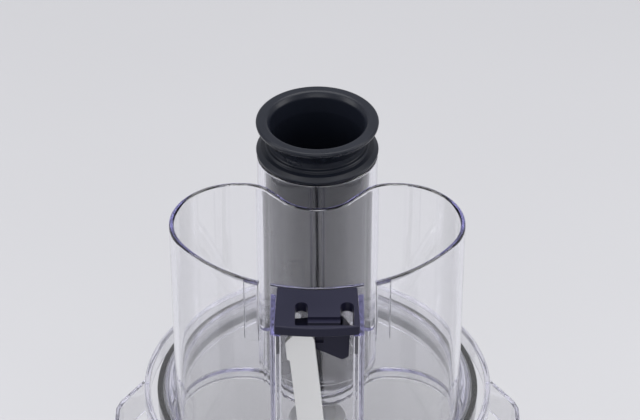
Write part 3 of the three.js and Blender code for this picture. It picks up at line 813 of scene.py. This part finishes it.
# ------------------------------------------------------------------ pusher
class PROCESSOR_OT_pusher(bpy.types.Operator):
    """Turns the hollow small pusher and its three fine ribs"""

    bl_idname = "processor.pusher"
    bl_label = "Small pusher"

    def execute(self, context):
        look = context.scene.processor_finish
        z = lambda above: RIM + above
        low, r, wall = RIM - 7, 26.2, 2.2
        profile = round_corners([
            (0, low, 0), (r - 0.2, low, 2.5), (r, z(127.5), 0.4), (r, z(130.1), 0.4), (30.6, z(130.1), 0.7),
            (31, z(131.9), 0.8), (28.6, z(133.6), 1.0), (26.4, z(133.9), 0.3), (26.0, z(135.4), 0.7),
            (24.5, z(135.5), 0.6), (24.6, z(139), 3), (27.2, z(144.4), 4), (30.6, z(146.4), 0.9),
            (31, z(148.2), 1.0), (30.0, z(149), 0.9), (25.6, z(149), 2.2), (23.8, z(146.4), 3),
            (22.9, z(138), 4), (r - wall, z(120), 4), (r - wall - 0.8, low + 3, 3), (0, low + 3, 0),
        ], 0.8, 5)
        bm = bmesh.new()
        spin(bm, profile, centre=(0, 24.5), steps=160)
        pusher = to_object("small_pusher", bm)
        for angle in (-5.0, 0.0, 5.0):
            rib = bmesh.new()
            block(rib, -0.35, 0.35, -r - 0.35, -r + 0.6, low + 6, z(126))
            soften(rib, 0.12, 1)
            turn = Matrix.Translation(Vector((0, 24.5 * MM, 0)) + AXIS)
            turn = turn @ Matrix.Rotation(math.radians(angle), 4, "Z") @ Matrix.Translation(-AXIS)
            bmesh.ops.transform(rib, matrix=turn, verts=rib.verts)
            combine(pusher, to_object("rib", rib), "UNION")
        finish_piece(
            pusher, satin_plastic("charcoal_plastic", look.charcoal, 0.3, gloss=0.28), "pusher",
            ["pusher"], 40,
        )
        return {"FINISHED"}


# ------------------------------------------------------------------ bowl
class PROCESSOR_OT_bowl(bpy.types.Operator):
    """Turns the clear bowl and the seal in the lid"""

    bl_idname = "processor.bowl"
    bl_label = "Bowl"

    def execute(self, context):
        top, floor, foot, neck = RIM - 2.7, DECK + 8, DECK + 0.3, DECK + 4
        bm = bmesh.new()
        spin(bm, round_corners([
            (11, neck, 0.5), (11, 190, 0.8), (13.5, 190, 0.8), (14.1, floor + 8, 1), (17.5, floor + 3, 3),
            (70.4, floor + 3, 2), (75.6, floor + 8, 5), (77.2, floor + 18, 4), (81.2, top, 1.0),
            (84.2, top, 1.0), (84.2, top - 10, 1), (82.6, top - 14, 2), (80.3, floor + 16, 4),
            (78.2, floor + 6, 5), (74.6, floor + 0.5, 1.5), (74.6, foot, 0.8), (72, foot, 0.8),
            (72, floor, 1), (16.5, floor, 2), (13.5, neck, 0.5),
        ], 1.0, 6), steps=160, closed=True)
        piece("smoke_bowl", bm, bowl_plastic(), "bowl", ["bowl"], 40)
        z = RIM
        bm = bmesh.new()
        spin(bm, round_corners([
            (79.0, z - 14), (80.5, z - 14), (80.5, z - 9), (79.0, z - 9),
        ], 0.6, 4), steps=128, closed=True)
        silicone = rubber("pale_silicone", (0.55, 0.57, 0.62), 0.55)
        piece("lid_gasket", bm, silicone, "lid_ring", ["lid_seal"])
        return {"FINISHED"}


class PROCESSOR_OT_handle(bpy.types.Operator):
    """Moulds the bowl's handle: a column against the bowl and a rounded grip"""

    bl_idname = "processor.handle"
    bl_label = "Bowl handle"

    def spring(self):
        """The return spring, copied from the model's own spring mesh; the real one closes up as the rod
        comes down, this copy keeps its shape.
        """
        bm = bmesh.new()
        bm.from_mesh(frame["nodes"]["handle_spring"].data)
        spring = piece(
            "return_spring", bm, ground_steel("machined_steel", (1, 1, 0.1), 0.26),
            "bowl", ["handle_spring"],
        )
        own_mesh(spring)

    def grip(self, top, bottom):
        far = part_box("bowl_handle")[0][1] / MM - AXIS.y / MM
        outer = (
            [(-106, top - 1)] + arc(16, 90, 180, 12, (far + 16, top - 19))
            + arc(14, 180, 270, 10, (far + 21, bottom + 34)) + [(-106, bottom + 14)]
        )
        inner = round_rectangle(far + 19, -111, bottom + 33, top - 18, 8)
        bm = bmesh.new()
        loops = []
        for outline in (outer, inner):
            verts = [bm.verts.new(Vector((-14, y, z)) * MM + AXIS) for y, z in outline]
            loops += [bm.edges.new((a, b)) for a, b in zip(verts, verts[1:] + verts[:1])]
        faces = bmesh.ops.bridge_loops(bm, edges=loops)["faces"]
        side = bmesh.ops.extrude_face_region(bm, geom=faces, use_keep_orig=True)["geom"]
        lifted = [v for v in side if isinstance(v, bmesh.types.BMVert)]
        bmesh.ops.translate(bm, verts=lifted, vec=(28 * MM, 0, 0))
        soften(bm, 4.0, 5, 50)
        return to_object("grip", bm)

    def execute(self, context):
        look = context.scene.processor_finish
        low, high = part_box("bowl_handle")
        bottom, top = low[2] / MM, high[2] / MM
        bm = bmesh.new()
        extrude_prism(bm, round_rectangle(-19.5, 19.5, -110, -70, 5), bottom, top)
        soften(bm, 1.2, 3, 50)
        handle = to_object("bowl_grip_handle", bm)
        combine(handle, self.grip(top, bottom), "UNION")
        cut_away(handle, spin, [
            (0, bottom - 1), (78.8, bottom - 1), (78.8, 132), (80.9, 142), (83.3, top + 1), (0, top + 1),
        ], steps=160)
        rod = [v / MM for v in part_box("handle_rod")[0]]
        x = rod[0] + 4
        for half_x, half_y, z0, z1 in ((4.6, 3.2, bottom - 1, top + 1), (7.5, 2.5, top - 9, top + 1)):
            cut_away(handle, block, x - half_x, x + half_x, -103.5 - half_y, -103.5 + half_y, z0, z1)
        cut_away(handle, peg, (x, -103.5, bottom + 12), 4.8, 28)
        self.spring()
        finish_piece(
            handle, satin_plastic("charcoal_plastic", look.charcoal, 0.3, gloss=0.28), "bowl",
            ["bowl_handle"], 40,
        )
        return {"FINISHED"}


# ------------------------------------------------------------------ blades
class PROCESSOR_OT_blades(bpy.types.Operator):
    """Makes the blade hub and two sickle blades with ground edges"""

    bl_idname = "processor.blades"
    bl_label = "Blades"

    def sickle(self, name, node, hub_radius, angle):
        def curve(a, b, c, steps):
            return [
                tuple((1 - t) ** 2 * p + 2 * t * (1 - t) * q + t * t * r for p, q, r in zip(a, b, c))
                for t in (k / steps for k in range(1, steps + 1))
            ]
        start, root = (-14, -hub_radius - 5), (6, -hub_radius - 6)
        tip, heel = (72.4, 6), (50, 16)
        edge = curve(root, (42, -30), tip, 24)
        back = curve(tip, (60, 22), heel, 10) + curve(heel, (40, 4), (hub_radius + 5, 12), 12)
        low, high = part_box(node)[0][2] / MM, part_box(node)[1][2] / MM
        bm = bmesh.new()
        extrude_prism(bm, [start, root] + edge + back + [(-14, 12)], low, high)
        on_edge = {(round(x, 2), round(y, 2)) for x, y in [root] + edge}
        seat = lambda v: (round(v.co.x / MM, 2), round((v.co.y - AXIS.y) / MM, 2))
        keen = [
            e for e in bm.edges
            if all(seat(v) in on_edge and v.co.z > (high - 0.1) * MM for v in e.verts)
        ]
        bmesh.ops.bevel(
            bm, geom=keen, offset=1.3 * MM, affect="EDGES", segments=1, profile=0.5, material=-1,
        )
        turn = Matrix.Translation(AXIS) @ Matrix.Rotation(angle, 4, "Z") @ Matrix.Translation(-AXIS)
        bmesh.ops.transform(bm, matrix=turn, verts=bm.verts)
        blade = to_object(name, bm)
        cut_away(blade, spin, [
            (0, low - 2), (hub_radius + 0.3, low - 2), (hub_radius + 0.3, high + 2), (0, high + 2)])
        steel = ground_steel("blade_steel", (0.2, 1, 1), 0.2)
        finish_piece(blade, steel, "blades", [node], 20)

    def execute(self, context):
        bm = bmesh.new()
        spin(bm, round_corners([
            (0, 216, 0), (7.2, 216, 0.4), (7.2, 192, 0.4), (15, 192, 0.4), (15, 135, 0.4), (19, 135, 0.5),
            (18.6, 150, 2), (17.4, 196, 6), (12.5, 214, 6), (12.5, 224, 6), (16.5, 243, 4),
            (15, 249, 2.5), (10, 251, 2), (0, 251, 0),
        ], 0.8, 5), steps=96)
        piece("blade_spindle", bm, milky_plastic(), "blades", ["blade_hub"], 40)
        self.sickle("lower_sickle", "lower_blade", 19, 0.0)
        self.sickle("upper_sickle", "upper_blade", 18.7, math.pi)
        return {"FINISHED"}


# ------------------------------------------------------------------ motor base
class PROCESSOR_OT_base(bpy.types.Operator):
    """Finishes the motor base's housing and turns its four rubber feet"""

    bl_idname = "processor.base"
    bl_label = "Motor base"

    def execute(self, context):
        look = context.scene.processor_finish
        enamel = satin_plastic("housing_plastic", look.housing, 0.3)
        for slot in frame["nodes"]["base_housing"].material_slots:
            slot.material = enamel
        for name in ("front_left", "front_right", "rear_left", "rear_right"):
            low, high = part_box("foot_" + name)
            x, y = (low[0] + high[0]) / 2 / MM, ((low[1] + high[1]) / 2 - AXIS.y) / MM
            bm = bmesh.new()
            spin(bm, round_corners([
                (0, 0.5, 0), (8, 0.5, 0.3), (8.8, 0, 0.3), (13, 0, 0.8), (14, 2, 0.8), (10.5, 8, 1.0),
                (10.5, 10.7, 0), (0, 10.7, 0)], 0, 4), centre=(x, y), steps=48)
            piece("rubber_foot_" + name, bm, rubber("foot_rubber", (0.02, 0.02, 0.022)), "base",
                  ["foot_" + name], 40)
        return {"FINISHED"}


class PROCESSOR_OT_controls(bpy.types.Operator):
    """Makes the control bezel, the two rocking keys and the power inlet"""

    bl_idname = "processor.controls"
    bl_label = "Controls and inlet"

    def key(self, name, body, side):
        look = bpy.context.scene.processor_finish
        outline = round_corners([
            (FRONT + 5, 81.4, 0.8), (FRONT - 1.6, 80, 2), (FRONT - 4.4, 47.6, 1.2),
            (FRONT - 1.6, 46.6, 0.8), (FRONT + 3, 47.6, 0.6)], 0, 5)
        bm = bmesh.new()
        extrude_prism(bm, outline, side * 27 - 20, side * 27 + 20, axis=0)
        soften(bm, 0.9, 3, 50)
        key = to_object(name, bm)
        cut_away(key, peg, (side * 27, FRONT + 2, 77.5), 1.8, 44, axis=0, segments=24)
        mark = bmesh.new()
        if side < 0:
            block(mark, -27.8, -26.2, FRONT - 4.2, FRONT - 1, 58, 66)
        else:
            peg(mark, (27, FRONT - 2.6, 62), 2.4, 3.2, axis=1)
        soften(mark, 0.3, 2)
        combine(key, to_object("mark", mark), "UNION")
        finish_piece(
            key, satin_plastic("charcoal_plastic", look.charcoal, 0.3, gloss=0.28), body,
            [body], 40,
        )

    def execute(self, context):
        look = context.scene.processor_finish
        bm = bmesh.new()
        block(bm, -53.7, 53.7, FRONT - 1.6, FRONT + 6, 40.3, 87.7)
        soften(bm, 1.0, 3)
        bezel = to_object("key_bezel", bm)
        for x in (-27, 27):
            cut_away(bezel, block, x - 20.5, x + 20.5, FRONT - 4, FRONT + 8, 46, 82)
        finish_piece(
            bezel, satin_plastic("charcoal_plastic", look.charcoal, 0.3, gloss=0.28), "base",
            ["control_bezel"], 40,
        )
        self.key("on_key", "on_paddle", -1)
        self.key("pulse_key", "pulse_paddle", 1)
        bm = bmesh.new()
        block(bm, -12.6, 12.6, REAR - 16, REAR + 4, 24.4, 43.6)
        soften(bm, 0.8, 3)
        inlet = to_object("power_socket", bm)
        cut_away(inlet, block, -10, 10, REAR - 10, REAR + 5, 27, 41)
        for x, z in ((-6, 32), (6, 32), (0, 37)):
            bm = bmesh.new()
            block(bm, x - 0.9, x + 0.9, REAR - 11, REAR + 1, z - 2, z + 2)
            soften(bm, 0.3, 2)
            combine(inlet, to_object("blade_pin", bm), "UNION")
        finish_piece(
            inlet, satin_plastic("navy_black_plastic", look.navy, 0.34, gloss=0.2), "base",
            ["power_inlet"], 40,
        )
        return {"FINISHED"}


# ------------------------------------------------------------------ carried-over parts
class PROCESSOR_OT_finishes(bpy.types.Operator):
    """Gives each part that keeps its drawn shape its finish"""

    bl_idname = "processor.finishes"
    bl_label = "Finishes of the inner parts"

    def execute(self, context):
        look = context.scene.processor_finish
        steel = ground_steel("machined_steel", (1, 1, 0.1), 0.26)
        cast = ground_steel("bracket_alloy", (1, 1, 1), 0.42, (0.50, 0.51, 0.53))
        black = satin_plastic("navy_black_plastic", look.navy, 0.34, gloss=0.2)
        charcoal = satin_plastic("charcoal_plastic", look.charcoal, 0.3, gloss=0.28)
        finishes = {
            steel: ("drive_shaft", "upper_bearing", "lower_bearing", "on_paddle_pin",
                    "pulse_paddle_pin", "base_screw_1", "base_screw_2", "base_screw_3", "base_screw_4"),
            cast: ("upper_bracket", "lower_bracket"),
            black: ("on_switch", "pulse_switch", "interlock_switch", "run_capacitor"),
            charcoal: ("bottom_plate", "cooling_fan"),
            milky_plastic(): ("handle_rod", "interlock_plunger"),
            layered_iron(): ("motor_rotor", "motor_stator"),
            copper_wire(): ("upper_winding",),
        }
        for finish, nodes in finishes.items():
            for node in nodes:
                slots = frame["nodes"][node].material_slots
                if not slots:
                    raise RuntimeError(f"{node} has no material slot")
                for slot in slots:
                    slot.material = finish
        return {"FINISHED"}


class PROCESSOR_PT_panel(bpy.types.Panel):
    """Buttons and sizes for the food processor"""

    bl_label = "Food Processor"
    bl_idname = "PROCESSOR_PT_panel"
    bl_space_type = "VIEW_3D"
    bl_region_type = "UI"
    bl_category = "Food Processor"

    def draw(self, context):
        layout = self.layout
        for operator in STEPS:
            layout.operator(operator.bl_idname)
        for settings in (context.scene.processor_lid, context.scene.processor_finish):
            for name in settings.bl_rna.properties.keys():
                if name not in ("rna_type", "name"):
                    layout.prop(settings, name)


STEPS = (
    PROCESSOR_OT_stage,
    PROCESSOR_OT_lid,
    PROCESSOR_OT_interlock,
    PROCESSOR_OT_pusher,
    PROCESSOR_OT_bowl,
    PROCESSOR_OT_handle,
    PROCESSOR_OT_blades,
    PROCESSOR_OT_base,
    PROCESSOR_OT_controls,
    PROCESSOR_OT_finishes,
)
CLASSES = (FinishSettings, LidSettings, *STEPS, PROCESSOR_PT_panel)


def register():
    for cls in CLASSES:
        bpy.utils.register_class(cls)
    bpy.types.Scene.processor_finish = bpy.props.PointerProperty(type=FinishSettings)
    bpy.types.Scene.processor_lid = bpy.props.PointerProperty(type=LidSettings)


def unregister():
    del bpy.types.Scene.processor_lid
    del bpy.types.Scene.processor_finish
    for cls in reversed(CLASSES):
        bpy.utils.unregister_class(cls)


def main():
    register()
    for step in STEPS:
        getattr(bpy.ops.processor, step.bl_idname.split(".")[1])()


if __name__ == "__main__":
    main()
